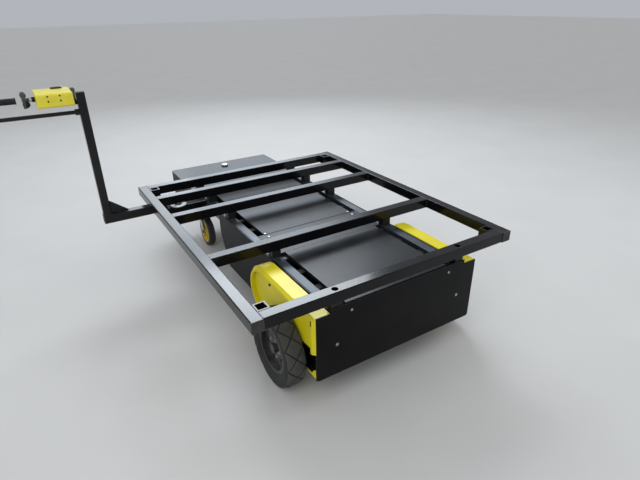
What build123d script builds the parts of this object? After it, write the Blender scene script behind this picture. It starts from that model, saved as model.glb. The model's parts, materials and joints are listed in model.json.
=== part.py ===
# Electric cart pusher: a low chassis on two driven wheels and two swivel wheels, with a flat top frame
# and a tall handle at one side. Millimetres, Z up. It is modelled from the floor under the middle of the
# drive wheels' line, with the drive end towards -Y and the swivel wheels at +Y. The last step moves the
# whole machine so that the origin is at the bottom centre of the box round it.

import os

from build123d import *

os.makedirs("parts", exist_ok=True)

# How a shape sits on the point it is placed at: standing on it, or hanging below it
upward = (Align.CENTER, Align.CENTER, Align.MIN)
downward = (Align.CENTER, Align.CENTER, Align.MAX)

# Top frame
frame_width = 1335.0
frame_length = 1585.0
frame_tube = 50.0
frame_wall = 3.0
frame_corner = 4.0
frame_top = 540.0
frame_overhang = 250.0
frame_shift = -18.5
cross_setbacks = (0.0, 507.0, 1037.0)
last_bay = 156.0
access_hole_diameter = 28.0
plug_lip = 2.5
plug_depth = 14.0

# Corner sockets
socket_bore = 38.0
socket_wall = 6.0
socket_floor = 4.0

# Low chassis
pad_height = 38.0
pad_length = 40.0
rail_width = 45.0
rail_height = 60.0
rail_wall = 3.0
rail_centre = 325.5
deck_length = 1568.0
beam_size = 40.0
beam_wall = 3.0
beam_width = 40.0
beam_setbacks = (60.0, 520.0, 741.0, 1508.0)
pan_beam_inset = 16.0

# Deck covers
sheet = 3.0
cover_half_width = 267.0
cover_flange = 12.0
cover_seam = 1.5
strip_start = 540.0
strip_end = 761.0
clip_length = 34.0
clip_thickness = 4.0

# Side plates and pan
side_thickness = 5.0
body_clearance = 145.0
side_length = 1176.0
side_tail = 330.0
side_slope = 90.0
pan_setback = 3.0

# End plate
end_thickness = 5.0
end_rise = 19.0
end_lip = 12.0
end_lip_half_width = 296.0

# Drive guards
guard_outer = 421.0
guard_depth = 60.0
guard_skin = 4.0
guard_round = 127.0
guard_reach = 210.0
guard_foot = 320.0
guard_rise = 60.0
lip_width = 24.0
lip_rise = 19.0
lip_bevel = 12.0
notch_low = 40.0
notch_high = 137.0
notch_depth = 155.0
notch_fall = 12.0
toe_length = 27.0
toe_slope = 30.0
spacer_diameter = 30.0
spacer_spots = ((-205.0, 395.0), (150.0, 395.0), (-205.0, 180.0), (150.0, 250.0))

# Drive wheels
tyre_diameter = 355.0
tyre_width = 88.0
tyre_gap = 6.0
tyre_shoulder = 4.0
tyre_crown = 4.0
tread_flat = 30.0
bead_width = 60.0
rim_diameter = 203.2
rim_wall = 3.0
rim_flange = 13.0
rim_lip = 4.0
disc_inset = 20.0
disc_thickness = 6.0
hub_diameter = 66.0
hub_length = 37.0
hub_cap_diameter = 44.0
hub_cap_length = 16.0
shaft_diameter = 30.0
shaft_length = 75.0
hand_hole_diameter = 26.0
hand_hole_circle = 134.0
hand_hole_count = 5
running_clearance = 0.05
bearing_length = 108.0
bearing_height = 58.0
bearing_boss_diameter = 50.0
bearing_thickness = 10.0
bearing_boss_length = 20.0

# Power parts inside the pan
motor_diameter = 112.0
motor_length = 190.0
motor_flange = 12.0
gear_case_width = 70.0
gear_case_length = 150.0
gear_case_height = 120.0
battery_length = 330.0
battery_width = 170.0
battery_height = 215.0
battery_gap = 12.0
battery_setback = 470.0

# Rear box
box_half_width = 360.0
box_length = 490.0
box_height = 200.0
box_skin = 3.0
box_corner = 12.0
box_knob_diameter = 46.0
box_knob_height = 12.0

# Swivel wheels
caster_wheel_diameter = 200.0
caster_wheel_width = 44.0
caster_tread = 24.0
caster_hub_length = 54.0
caster_hub_diameter = 42.0
caster_hub_web = 18.0
caster_hub_wall = 9.0
caster_axle_diameter = 12.0
caster_x = 265.0
caster_y = 1510.0
caster_trail = 55.0
caster_side_gap = 0.4
fork_thickness = 5.0
fork_eye = 22.0
fork_crown_diameter = 92.0
fork_crown_gap = 14.0
fork_crown_thickness = 6.0
race_diameter = 74.0
race_gap = 0.3
kingpin_diameter = 14.0
caster_plate_thickness = 6.0
caster_plate_length = 110.0
caster_plate_width = 96.0

# Handle
arm_tube = 48.0
arm_wall = 3.0
arm_centre_y = 1171.0
arm_gap = 10.0
outrigger_tube = 50.0
arm_joint_x = 585.0
outrigger_rise = 4.0
joint_plate = 6.0
cap_centre_x = 508.0
cap_diameter = 94.0
cap_thickness = 6.0
dome_diameter = 42.0
dome_height = 12.0
post_tube = 40.0
post_centre_x = 900.0
post_rise = 93.0
gusset_reach = 92.0
gusset_height = 72.0
gusset_thickness = 6.0
gusset_nose = 6.0
bar_diameter = 19.0
bar_height = 1037.0
bar_end_x = 1410.0
bar_end_straight = 3.0
bar_sleeve_diameter = 30.0
bar_sleeve_length = 20.0
grip_rise = 79.0
grip_diameter = 31.0
grip_length = 130.0
grip_free_x = 1175.0
grip_end = 6.0

# Control head
control_width = 156.0
control_depth = 200.0
control_height = 63.0
control_right_x = 940.0
control_corner = 10.0
bracket_sheet = 4.0
bracket_reach = 80.0
bracket_width = 40.0
bracket_drop = 14.0
paddle_thickness = 14.0
paddle_gap = 2.5
paddle_reach = 40.0
paddle_tip = 13.0
paddle_hub_diameter = 26.0
paddle_turn = 10.0
paddle_standoff = 40.0
lens_length = 54.0
lens_width = 28.0
lens_height = 8.0
lens_setback = 30.0
lens_offset = 26.0

# Levels and places that follow from the sizes above
frame_bottom = frame_top - frame_tube
front = -frame_overhang
rear = front + frame_length
deck_top = frame_bottom - pad_height
rail_bottom = deck_top - rail_height
rail_inner = rail_centre - rail_width / 2
rail_outer = rail_centre + rail_width / 2
rail_front = front + end_thickness
rail_length = deck_length - end_thickness
rail_end = rail_front + rail_length
side_outer = rail_outer + side_thickness
cover_bottom = deck_top - cover_flange - sheet
guard_inner = guard_outer - guard_depth
axle_height = tyre_diameter / 2
tyre_inner = guard_outer + tyre_gap
wheel_centre = tyre_inner + tyre_width / 2
inner_tube = frame_tube - 2 * frame_wall
inner_arm = arm_tube - 2 * arm_wall
inner_post = post_tube - 2 * arm_wall
side_x = frame_width / 2 - frame_tube / 2
cross_length = frame_width - 2 * frame_tube
rear_cross = rear - frame_tube / 2
cross_ys = [front + setback + frame_tube / 2 for setback in cross_setbacks]
cross_ys += [rear_cross - last_bay - frame_tube, rear_cross]
side_back = front + side_length
beam_ys = [front + setback for setback in beam_setbacks] + [side_back - pan_beam_inset]
arm_top = frame_bottom - arm_gap
arm_z = arm_top - arm_tube / 2
outrigger_z = rail_bottom + outrigger_rise + outrigger_tube / 2
outrigger_top = outrigger_z + outrigger_tube / 2
joint_inner = arm_joint_x - joint_plate
joint_outer = arm_joint_x + joint_plate
grip_height = bar_height + grip_rise
bar_bend = (grip_rise - bar_end_straight) / 2
post_top = bar_height + post_rise
control_bottom = grip_height - control_height / 2
arm_end = post_centre_x + post_tube / 2


# Top frame: long sides, cross tubes, end plugs and corner sockets
side_xs = (frame_shift - side_x, frame_shift + side_x)
frame_middle = frame_top - frame_tube / 2
with BuildPart() as platform_sides:
    with BuildSketch(Plane.XZ.offset(-front)):
        with Locations([(x, frame_middle) for x in side_xs]):
            RectangleRounded(frame_tube, frame_tube, frame_corner)
            Rectangle(inner_tube, inner_tube, mode=Mode.SUBTRACT)
    extrude(amount=-frame_length)

with BuildPart() as platform_crosses:
    for y in cross_ys:
        with BuildSketch(Plane.YZ.offset(frame_shift - cross_length / 2)):
            with Locations((y, frame_middle)):
                RectangleRounded(frame_tube, frame_tube, frame_corner)
                Rectangle(inner_tube, inner_tube, mode=Mode.SUBTRACT)
        extrude(amount=cross_length)
    with Locations((-rail_centre, cross_ys[0], frame_top), (rail_centre, cross_ys[0], frame_top)):
        Cylinder(access_hole_diameter / 2, 2 * frame_wall, mode=Mode.SUBTRACT)

with BuildPart() as tube_plugs:
    for y, away, inward in ((front, Align.MAX, Align.MIN), (rear, Align.MIN, Align.MAX)):
        with Locations([(x, y, frame_middle) for x in side_xs]):
            Box(frame_tube, plug_lip, frame_tube, align=(Align.CENTER, away, Align.CENTER))
            Box(inner_tube, plug_depth, inner_tube, align=(Align.CENTER, inward, Align.CENTER))
    with Locations((-arm_end, arm_centre_y, arm_z)):
        Box(plug_lip, arm_tube, arm_tube, align=(Align.MAX, Align.CENTER, Align.CENTER))
        Box(plug_depth, inner_arm, inner_arm, align=(Align.MIN, Align.CENTER, Align.CENTER))
    with Locations((-post_centre_x, arm_centre_y, post_top)):
        Box(post_tube, post_tube, plug_lip, align=upward)
        Box(inner_post, inner_post, plug_depth, align=downward)

socket_size = socket_bore + 2 * socket_wall
socket_x = frame_width / 2 - frame_tube - socket_size / 2
socket_ys = (front + frame_tube + socket_size / 2, rear - frame_tube - socket_size / 2)
socket_spots = [(frame_shift + s * socket_x, y, frame_top) for s in (-1, 1) for y in socket_ys]
with BuildPart() as corner_sockets:
    with Locations(socket_spots):
        Box(socket_size, socket_size, frame_tube, align=downward)
    with Locations(socket_spots):
        Box(socket_bore, socket_bore, frame_tube - socket_floor, align=downward, mode=Mode.SUBTRACT)

with BuildPart() as frame_pads:
    with Locations([(s * rail_centre, y, deck_top) for s in (-1, 1) for y in cross_ys]):
        Box(rail_width, pad_length, pad_height, align=upward)

# Low chassis: rails, beams and the covers between them
with BuildPart() as chassis_rails:
    with BuildSketch(Plane.XZ.offset(-rail_front)):
        with Locations([(s * rail_centre, deck_top - rail_height / 2) for s in (-1, 1)]):
            RectangleRounded(rail_width, rail_height, frame_corner)
            Rectangle(rail_width - 2 * rail_wall, rail_height - 2 * rail_wall, mode=Mode.SUBTRACT)
    extrude(amount=-rail_length)

with BuildPart() as chassis_crossbeams:
    for y in beam_ys:
        with BuildSketch(Plane.YZ.offset(-rail_inner)):
            with Locations((y, cover_bottom - beam_size / 2)):
                Rectangle(beam_width, beam_size)
                Rectangle(beam_width - 2 * beam_wall, beam_size - 2 * beam_wall, mode=Mode.SUBTRACT)
        extrude(amount=2 * rail_inner)

strip_from = front + strip_start
strip_to = front + strip_end
covers = []
for label, y_from, y_to, half in (
    ("deck_cover_front", rail_front, strip_from - cover_seam, cover_half_width),
    ("deck_strip", strip_from, strip_to, rail_inner),
    ("deck_cover_rear", strip_to + cover_seam, rail_end, cover_half_width),
):
    run = y_to - y_from
    with BuildPart() as cover:
        with Locations((0, y_from + run / 2, deck_top)):
            Box(2 * half, run, sheet + cover_flange, align=downward)
        with Locations((0, y_from + run / 2, deck_top - sheet)):
            Box(2 * (half - sheet), run - 2 * sheet, cover_flange, align=downward, mode=Mode.SUBTRACT)
    covers.append((label, cover.part))

beams = sorted(beam_ys)
clip_ys = [a + (b - a) * share / 3 for a, b in (beams[0:2], beams[2:4]) for share in (1, 2)]
with BuildPart() as slot_clips:
    with BuildSketch(Plane.XZ.offset(-clip_ys[0] + clip_length / 2)):
        with BuildLine():
            Polyline(
                (rail_inner, cover_bottom),
                (rail_inner, cover_bottom - beam_size / 2),
                (rail_inner - clip_thickness, cover_bottom - beam_size / 2),
                (rail_inner - clip_thickness, cover_bottom - clip_thickness),
                (cover_half_width - sheet, cover_bottom - clip_thickness),
                (cover_half_width - sheet, cover_bottom),
                close=True,
            )
        make_face()
    extrude(amount=-clip_length)
    clip_one = slot_clips.part
    for y in clip_ys[1:]:
        add(clip_one.moved(Location((0, y - clip_ys[0], 0))))
    mirror(about=Plane.YZ)

# Side plates, pan and end plate
with BuildPart() as side_plates:
    with BuildSketch(Plane.YZ.offset(rail_outer)):
        with BuildLine():
            Polyline(
                (rail_front, deck_top),
                (rail_front, body_clearance),
                (side_back - side_slope, body_clearance),
                (side_back, side_tail),
                (side_back, deck_top),
                close=True,
            )
        make_face()
    extrude(amount=side_thickness)
    mirror(about=Plane.YZ)

with BuildPart() as belly_pan:
    with BuildSketch(Plane.YZ.offset(-rail_outer)):
        with BuildLine():
            Polyline(
                (rail_front, body_clearance + pan_setback),
                (side_back - side_slope - pan_setback, body_clearance + pan_setback),
                (side_back - pan_setback, side_tail),
                (side_back - pan_setback, rail_bottom),
                (side_back - pan_setback - sheet, rail_bottom),
                (side_back - pan_setback - sheet, side_tail + sheet / 2),
                (side_back - side_slope - pan_setback - sheet, body_clearance + pan_setback + sheet),
                (rail_front, body_clearance + pan_setback + sheet),
                close=True,
            )
        make_face()
    extrude(amount=2 * rail_outer)

plate_half = guard_outer + lip_rise - lip_bevel
with BuildPart() as end_plate:
    with BuildSketch(Plane.XZ.offset(-front)):
        with BuildLine():
            Polyline(
                (plate_half, body_clearance + guard_skin),
                (plate_half, deck_top),
                (guard_inner - guard_skin, deck_top),
                (guard_inner - guard_skin, deck_top + end_rise),
                (-guard_inner + guard_skin, deck_top + end_rise),
                (-guard_inner + guard_skin, deck_top),
                (-plate_half, deck_top),
                (-plate_half, body_clearance + guard_skin),
                (-guard_inner + guard_skin, body_clearance + guard_skin),
                (-guard_inner + guard_skin, body_clearance),
                (guard_inner - guard_skin, body_clearance),
                (guard_inner - guard_skin, body_clearance + guard_skin),
                close=True,
            )
        make_face()
    extrude(amount=-end_thickness)
    with Locations((0, front, deck_top + end_rise)):
        Box(2 * end_lip_half_width, end_lip, sheet, align=(Align.CENTER, Align.MIN, Align.MAX))

# Drive guards: a housing with a flat top, a rounded far end and a foot at the drive end. A raised lip runs
# along its outer edge, from the notch up the drive end, along the top and round the far end.
round_z = deck_top - guard_round
guard_low = round_z - guard_round
guard_shapes = []
for inset in (0.0, guard_skin):
    with BuildPart() as guard_shape:
        with BuildSketch(Plane.YZ.offset(guard_inner + inset)):
            with BuildLine():
                Polyline(
                    (guard_reach, deck_top - inset),
                    (front, deck_top - inset),
                    (front, body_clearance + inset),
                    (front + guard_foot, body_clearance + inset),
                    (front + guard_foot + guard_rise, guard_low + inset),
                    (guard_reach, guard_low + inset),
                )
                ThreePointArc(
                    (guard_reach, guard_low + inset),
                    (guard_reach + guard_round - inset, round_z),
                    (guard_reach, deck_top - inset),
                )
            make_face()
        extrude(amount=guard_depth - 2 * inset)
    guard_shapes.append(guard_shape.part)

lip_round = guard_round - lip_width
notch_edge = body_clearance + notch_high
with BuildPart() as guard_lip:
    with BuildSketch(Plane.YZ.offset(guard_outer)):
        with BuildLine():
            ThreePointArc(
                (guard_reach, round_z - lip_round),
                (guard_reach + lip_round, round_z),
                (guard_reach, round_z + lip_round),
            )
            Polyline(
                (guard_reach, round_z + lip_round),
                (front + lip_width, round_z + lip_round),
                (front + lip_width, notch_edge),
                (front, notch_edge),
                (front, deck_top),
                (guard_reach, deck_top),
            )
            ThreePointArc(
                (guard_reach, deck_top),
                (guard_reach + guard_round, round_z),
                (guard_reach, guard_low),
            )
            Line((guard_reach, guard_low), (guard_reach, round_z - lip_round))
        make_face()
    extrude(amount=lip_rise)
    lip_edges = guard_lip.faces().sort_by(Axis.X)[-1].edges()
    lip_arc = lip_edges.filter_by(GeomType.CIRCLE).sort_by(SortBy.LENGTH)[-1]
    chamfer([lip_edges.sort_by(Axis.Y)[0], lip_edges.sort_by(Axis.Z)[-1], lip_arc], lip_bevel)

with BuildPart() as drive_guards:
    add(guard_shapes[0])
    add(guard_shapes[1], mode=Mode.SUBTRACT)
    with BuildSketch(Plane.YZ.offset(guard_outer - 2 * guard_skin)):
        with BuildLine():
            Polyline(
                (front, notch_edge),
                (front + notch_depth, notch_edge - notch_fall),
                (front + notch_depth, body_clearance + guard_skin),
                (front + toe_length + toe_slope, body_clearance + guard_skin),
                (front + toe_length, body_clearance + notch_low),
                (front, body_clearance + notch_low),
                close=True,
            )
        make_face()
    extrude(amount=3 * guard_skin, mode=Mode.SUBTRACT)
    add(guard_lip.part)
    add(end_plate.part, mode=Mode.SUBTRACT)
    with Locations(Location((guard_outer - guard_skin, 0, axle_height), (0, 90, 0))):
        Cylinder(bearing_boss_diameter / 2 + 1, 3 * guard_skin, mode=Mode.SUBTRACT)
    mirror(about=Plane.YZ)

with BuildPart() as guard_spacers:
    with BuildSketch(Plane.YZ.offset(side_outer)):
        with Locations(*spacer_spots):
            Circle(spacer_diameter / 2)
    extrude(amount=guard_inner - side_outer)
    mirror(about=Plane.YZ)

with BuildPart() as axle_bearings:
    with BuildSketch(Plane.YZ.offset(guard_outer)):
        with Locations((0, axle_height)):
            RectangleRounded(bearing_length, bearing_height, bearing_height / 3)
    extrude(amount=bearing_thickness)
    with BuildSketch(Plane.YZ.offset(guard_outer - guard_skin)):
        with Locations((0, axle_height)):
            Circle(bearing_boss_diameter / 2)
    extrude(amount=guard_skin + bearing_boss_length)
    with BuildSketch(Plane.YZ.offset(guard_outer - guard_skin)):
        with Locations((0, axle_height)):
            Circle(shaft_diameter / 2 + running_clearance)
    extrude(amount=guard_skin + bearing_boss_length, mode=Mode.SUBTRACT)
    mirror(about=Plane.YZ)

# Motors and batteries in the pan
pan_floor = body_clearance + pan_setback + sheet
beside = (Align.MAX, Align.CENTER, Align.MIN)
with BuildPart() as gearmotors:
    with Locations((rail_outer, 0, pan_floor)):
        Box(gear_case_width, gear_case_length, gear_case_height, align=beside)
    with Locations((rail_outer - gear_case_width, 0, pan_floor)):
        Box(motor_flange, motor_diameter, gear_case_height, align=beside)
    motor_x = rail_outer - gear_case_width - motor_flange
    with Locations(Location((motor_x, 0, pan_floor + motor_diameter / 2), (0, -90, 0))):
        Cylinder(motor_diameter / 2, motor_length, align=upward)
    mirror(about=Plane.YZ)

with BuildPart() as batteries:
    battery_x = (battery_width + battery_gap) / 2
    with Locations([(s * battery_x, front + battery_setback, pan_floor) for s in (-1, 1)]):
        Box(battery_width, battery_length, battery_height, align=(Align.CENTER, Align.MIN, Align.MIN))
    fillet(batteries.edges().filter_by(Axis.Z), battery_gap / 2)

# Rear box over the swivel wheels
box_front = rail_end
box_back = box_front + box_length
box_bottom = deck_top - box_height
box_middle = (box_front + box_back) / 2
with BuildPart() as rear_box:
    with BuildSketch(Plane.XY.offset(box_bottom)):
        with Locations((0, box_middle)):
            RectangleRounded(2 * box_half_width, box_length, box_corner)
    extrude(amount=box_height - sheet)
    with BuildSketch(Plane.XY.offset(box_bottom + box_skin)):
        with Locations((0, box_middle)):
            inner_half = box_half_width - box_skin
            RectangleRounded(2 * inner_half, box_length - 2 * box_skin, box_corner - box_skin)
    extrude(amount=box_height, mode=Mode.SUBTRACT)

with BuildPart() as rear_box_cover:
    with BuildSketch(Plane.XY.offset(deck_top - sheet)):
        with Locations((0, box_middle)):
            RectangleRounded(2 * box_half_width, box_length, box_corner)
    extrude(amount=sheet)
    with BuildSketch(Plane.XY.offset(deck_top)):
        with Locations((0, box_back - box_length / 5)):
            Circle(box_knob_diameter / 2)
    extrude(amount=box_knob_height)
    fillet(rear_box_cover.edges().group_by(Axis.Z)[-1], box_knob_height / 4)

# Swivel wheels
wheel_radius = caster_wheel_diameter / 2
plate_bottom = box_bottom - caster_plate_thickness
crown_bottom = caster_wheel_diameter + fork_crown_gap
crown_top = crown_bottom + fork_crown_thickness
fork_inner = caster_hub_length / 2 + caster_side_gap
fork_outer = fork_inner + fork_thickness
kingpin_length = plate_bottom - crown_bottom + fork_crown_thickness / 2
with BuildPart() as caster_plates:
    with Locations([(s * caster_x, caster_y, box_bottom) for s in (-1, 1)]):
        Box(caster_plate_width, caster_plate_length, caster_plate_thickness, align=downward)
    fillet(caster_plates.edges().filter_by(Axis.Z), box_corner / 2)
    with Locations([(s * caster_x, caster_y, plate_bottom) for s in (-1, 1)]):
        Cylinder(race_diameter / 2, plate_bottom - crown_top - race_gap, align=downward)
        Cylinder(kingpin_diameter / 2, kingpin_length, align=downward)

sides = (("left", -1), ("right", 1))
moving = []
for side, sign in sides:
    x0 = sign * caster_x
    y0 = caster_y - caster_trail
    with BuildPart() as fork:
        with Locations((x0, caster_y, crown_bottom)):
            Cylinder(fork_crown_diameter / 2, fork_crown_thickness, align=upward)
        for cheek_x in (x0 + fork_inner, x0 - fork_outer):
            with BuildSketch(Plane.YZ.offset(cheek_x)):
                with BuildLine():
                    Polyline(
                        (caster_y - fork_crown_diameter / 3, crown_top),
                        (caster_y + fork_crown_diameter / 3, crown_top),
                        (y0 + fork_eye, wheel_radius),
                        (y0 - fork_eye, wheel_radius),
                        close=True,
                    )
                make_face()
                with Locations((y0, wheel_radius)):
                    Circle(fork_eye)
            extrude(amount=fork_thickness)
        with Locations(Location((x0, y0, wheel_radius), (0, 90, 0))):
            Cylinder(caster_axle_diameter / 2, 2 * (fork_outer + fork_thickness))
            with Locations((0, 0, fork_outer), (0, 0, -fork_outer - fork_thickness)):
                Cylinder(caster_axle_diameter, fork_thickness, align=upward)
        kingpin_hole = kingpin_diameter / 2 + running_clearance
        with Locations((x0, caster_y, crown_bottom)):
            Cylinder(kingpin_hole, 3 * fork_crown_thickness, mode=Mode.SUBTRACT)
    moving.append((f"caster_fork_{side}", fork.part))

    hub_turned = Location((x0, y0, wheel_radius), (0, 90, 0))
    rim_radius = wheel_radius - caster_tread
    axle_hole = caster_axle_diameter / 2 + running_clearance
    with BuildPart() as caster_hub:
        with Locations(hub_turned):
            Cylinder(rim_radius, caster_wheel_width)
            dish_depth = caster_wheel_width - caster_hub_web
            with Locations((0, 0, caster_wheel_width / 2), (0, 0, -caster_wheel_width / 2)):
                Cylinder(rim_radius - caster_hub_wall, dish_depth, mode=Mode.SUBTRACT)
            Cylinder(caster_hub_diameter / 2, caster_hub_length)
            Cylinder(axle_hole, 2 * caster_hub_length, mode=Mode.SUBTRACT)
    moving.append((f"caster_hub_{side}", caster_hub.part))

    with BuildPart() as caster_rubber:
        with Locations(hub_turned):
            Cylinder(wheel_radius, caster_wheel_width)
        fillet(caster_rubber.edges(), caster_wheel_width / 5)
        with Locations(hub_turned):
            Cylinder(rim_radius, 2 * caster_wheel_width, mode=Mode.SUBTRACT)
    moving.append((f"caster_tread_{side}", caster_rubber.part))

# Drive wheels, modelled for the right side and mirrored for the left
rim_radius = rim_diameter / 2
tyre_radius = tyre_diameter / 2
tyre_depth = tyre_radius - rim_radius
with BuildPart() as tyre:
    with BuildSketch(Plane.XZ):
        with BuildLine():
            Line((-tread_flat / 2, tyre_radius), (tread_flat / 2, tyre_radius))
            for turn in (-1, 1):
                shoulder = (turn * (tyre_width / 2 - tyre_shoulder), tyre_radius - tyre_crown)
                TangentArc((turn * tread_flat / 2, tyre_radius), shoulder, tangent=(turn, 0))
                widest = (turn * tyre_width / 2, tyre_radius - tyre_depth * 0.4)
                bead_top = (turn * bead_width / 2, rim_radius + rim_flange)
                TangentArc(widest, shoulder, tangent=(0, 1))
                TangentArc(widest, bead_top, tangent=(0, -1))
                Line(bead_top, (turn * bead_width / 2, rim_radius))
            Line((-bead_width / 2, rim_radius), (bead_width / 2, rim_radius))
        make_face()
    revolve(axis=Axis.X)

half_rim = bead_width / 2
with BuildPart() as rim:
    with BuildSketch(Plane.XZ):
        with BuildLine():
            Polyline(
                (-half_rim - rim_lip, rim_radius - rim_wall),
                (half_rim + rim_lip, rim_radius - rim_wall),
                (half_rim + rim_lip, rim_radius + rim_flange),
                (half_rim, rim_radius + rim_flange),
                (half_rim, rim_radius),
                (-half_rim, rim_radius),
                (-half_rim, rim_radius + rim_flange),
                (-half_rim - rim_lip, rim_radius + rim_flange),
                close=True,
            )
        make_face()
        with Locations((half_rim - disc_inset, rim_radius / 2)):
            Rectangle(disc_thickness, rim_radius - rim_wall / 2)
        with Locations((half_rim - disc_inset + disc_thickness / 2, 0)):
            Rectangle(hub_length, hub_diameter / 2, align=(Align.MAX, Align.MIN))
            Rectangle(hub_cap_length, hub_cap_diameter / 2, align=(Align.MIN, Align.MIN))
        with Locations((half_rim - disc_inset + disc_thickness / 2 - hub_length, 0)):
            Rectangle(shaft_length, shaft_diameter / 2, align=(Align.MAX, Align.MIN))
    revolve(axis=Axis.X)
    with BuildSketch(Plane.YZ.offset(half_rim - disc_inset - disc_thickness)):
        with PolarLocations(hand_hole_circle / 2, hand_hole_count):
            Circle(hand_hole_diameter / 2)
    extrude(amount=2 * disc_thickness, mode=Mode.SUBTRACT)

for side, sign in sides:
    for label, part in (("tyre", tyre.part), ("rim", rim.part)):
        placed = part.moved(Location((wheel_centre, 0, axle_height)))
        if sign < 0:
            placed = placed.mirror(Plane.YZ)
        moving.append((f"{label}_{side}", placed))

# Handle: outrigger, joint, arm, post and gusset
with BuildPart() as handle_outrigger:
    with BuildSketch(Plane.YZ.offset(-rail_outer)):
        with Locations((arm_centre_y, outrigger_z)):
            RectangleRounded(outrigger_tube, outrigger_tube, frame_corner)
            Rectangle(outrigger_tube - 2 * arm_wall, outrigger_tube - 2 * arm_wall, mode=Mode.SUBTRACT)
    extrude(amount=-(joint_inner - rail_outer))

joint_height = arm_top - outrigger_z + outrigger_tube / 2
outward = (Align.MAX, Align.CENTER, Align.MAX)
with BuildPart() as joint_plates:
    with Locations((-joint_inner, arm_centre_y, arm_top)):
        Box(joint_plate, outrigger_tube, joint_height, align=outward)
    with Locations((-arm_joint_x, arm_centre_y, arm_top)):
        Box(joint_plate, arm_tube, joint_height, align=outward)

with BuildPart() as outrigger_cap:
    with BuildSketch(Plane.XY.offset(outrigger_top)):
        with Locations((-cap_centre_x, arm_centre_y)):
            Circle(cap_diameter / 2)
    extrude(amount=cap_thickness)
    with BuildSketch(Plane.XY.offset(outrigger_top + cap_thickness)):
        with Locations((-cap_centre_x, arm_centre_y)):
            Circle(dome_diameter / 2)
    extrude(amount=dome_height)
    fillet(outrigger_cap.edges().group_by(Axis.Z)[-1], dome_height * 0.7)

with BuildPart() as handle_arm:
    with BuildSketch(Plane.YZ.offset(-joint_outer)):
        with Locations((arm_centre_y, arm_z)):
            RectangleRounded(arm_tube, arm_tube, frame_corner)
            Rectangle(inner_arm, inner_arm, mode=Mode.SUBTRACT)
    extrude(amount=-(arm_end - joint_outer))

with BuildPart() as handle_post:
    with BuildSketch(Plane.XY.offset(arm_top)):
        with Locations((-post_centre_x, arm_centre_y)):
            RectangleRounded(post_tube, post_tube, frame_corner)
            Rectangle(inner_post, inner_post, mode=Mode.SUBTRACT)
    extrude(amount=post_top - arm_top)

gusset_x = -post_centre_x + post_tube / 2
with BuildPart() as handle_gusset:
    with BuildSketch(Plane.XZ.offset(-arm_centre_y - gusset_thickness / 2)):
        with BuildLine():
            Polyline(
                (gusset_x, arm_top),
                (gusset_x + gusset_reach, arm_top),
                (gusset_x + gusset_reach, arm_top + gusset_nose),
                (gusset_x + gusset_nose, arm_top + gusset_height),
                (gusset_x, arm_top + gusset_height),
                close=True,
            )
        make_face()
    extrude(amount=gusset_thickness)

# Handlebar: one bent tube from the post's sleeve, out, up and back into the grip
post_left = -post_centre_x - post_tube / 2
with BuildPart() as handle_loop:
    with BuildLine(Plane.XZ.offset(-arm_centre_y)) as loop_path:
        FilletPolyline(
            (post_left, bar_height),
            (-bar_end_x, bar_height),
            (-bar_end_x, grip_height),
            (-grip_free_x - grip_end, grip_height),
            radius=bar_bend,
        )
    with BuildSketch(Plane(origin=(post_left, arm_centre_y, bar_height), z_dir=(-1, 0, 0))):
        Circle(bar_diameter / 2)
    sweep(path=loop_path.line)
    with BuildSketch(Plane(origin=(post_left, arm_centre_y, bar_height), z_dir=(-1, 0, 0))):
        Circle(bar_sleeve_diameter / 2)
    extrude(amount=bar_sleeve_length)

with BuildPart() as hand_grip:
    with BuildSketch(Plane(origin=(-grip_free_x, arm_centre_y, grip_height), z_dir=(-1, 0, 0))):
        Circle(grip_diameter / 2)
    extrude(amount=grip_length)
    fillet(hand_grip.edges(), grip_end * 0.6)
    with BuildSketch(Plane(origin=(-grip_free_x - grip_end, arm_centre_y, grip_height), z_dir=(-1, 0, 0))):
        Circle(bar_diameter / 2)
    extrude(amount=grip_length, mode=Mode.SUBTRACT)

# Control head
control_x = -control_right_x - control_width / 2
with BuildPart() as control_box:
    with Locations((control_x, arm_centre_y, control_bottom)):
        Box(control_width, control_depth, control_height, align=upward)
    fillet(control_box.edges().filter_by(Axis.X), control_corner)
    end_edges = control_box.edges().group_by(Axis.X)
    fillet(end_edges[0] + end_edges[-1], control_corner / 3)

post_back = arm_centre_y + post_tube / 2
with BuildPart() as control_bracket:
    with BuildSketch(Plane.YZ.offset(-post_centre_x + post_tube / 2)):
        with BuildLine():
            Polyline(
                (post_back, control_bottom),
                (post_back + bracket_width, control_bottom),
                (post_back + bracket_width, control_bottom - bracket_sheet),
                (post_back + bracket_sheet, control_bottom - bracket_sheet),
                (post_back + bracket_sheet, control_bottom - bracket_drop),
                (post_back, control_bottom - bracket_drop),
                close=True,
            )
        make_face()
    extrude(amount=-(post_tube + bracket_reach))

paddle_z = grip_height
paddle_right_x = -control_right_x + paddle_gap
paddle_left_x = -control_right_x - control_width - paddle_standoff - paddle_thickness
with BuildPart() as throttle_paddles:
    for x, stub, turn in ((paddle_right_x, paddle_gap, 1), (paddle_left_x, paddle_standoff, -1)):
        with BuildSketch(Plane.YZ.offset(x)):
            with Locations(Location((arm_centre_y, paddle_z, 0), (0, 0, 90 + paddle_turn))):
                SlotOverall(2 * paddle_reach, 2 * paddle_tip)
                Circle(paddle_hub_diameter / 2)
        extrude(amount=paddle_thickness)
    with BuildSketch(Plane.YZ.offset(paddle_left_x + paddle_thickness)):
        with Locations((arm_centre_y, paddle_z)):
            Circle(paddle_hub_diameter / 3)
    extrude(amount=paddle_standoff)
    with BuildSketch(Plane.YZ.offset(-control_right_x)):
        with Locations((arm_centre_y, paddle_z)):
            Circle(paddle_hub_diameter / 3)
    extrude(amount=paddle_gap)

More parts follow.
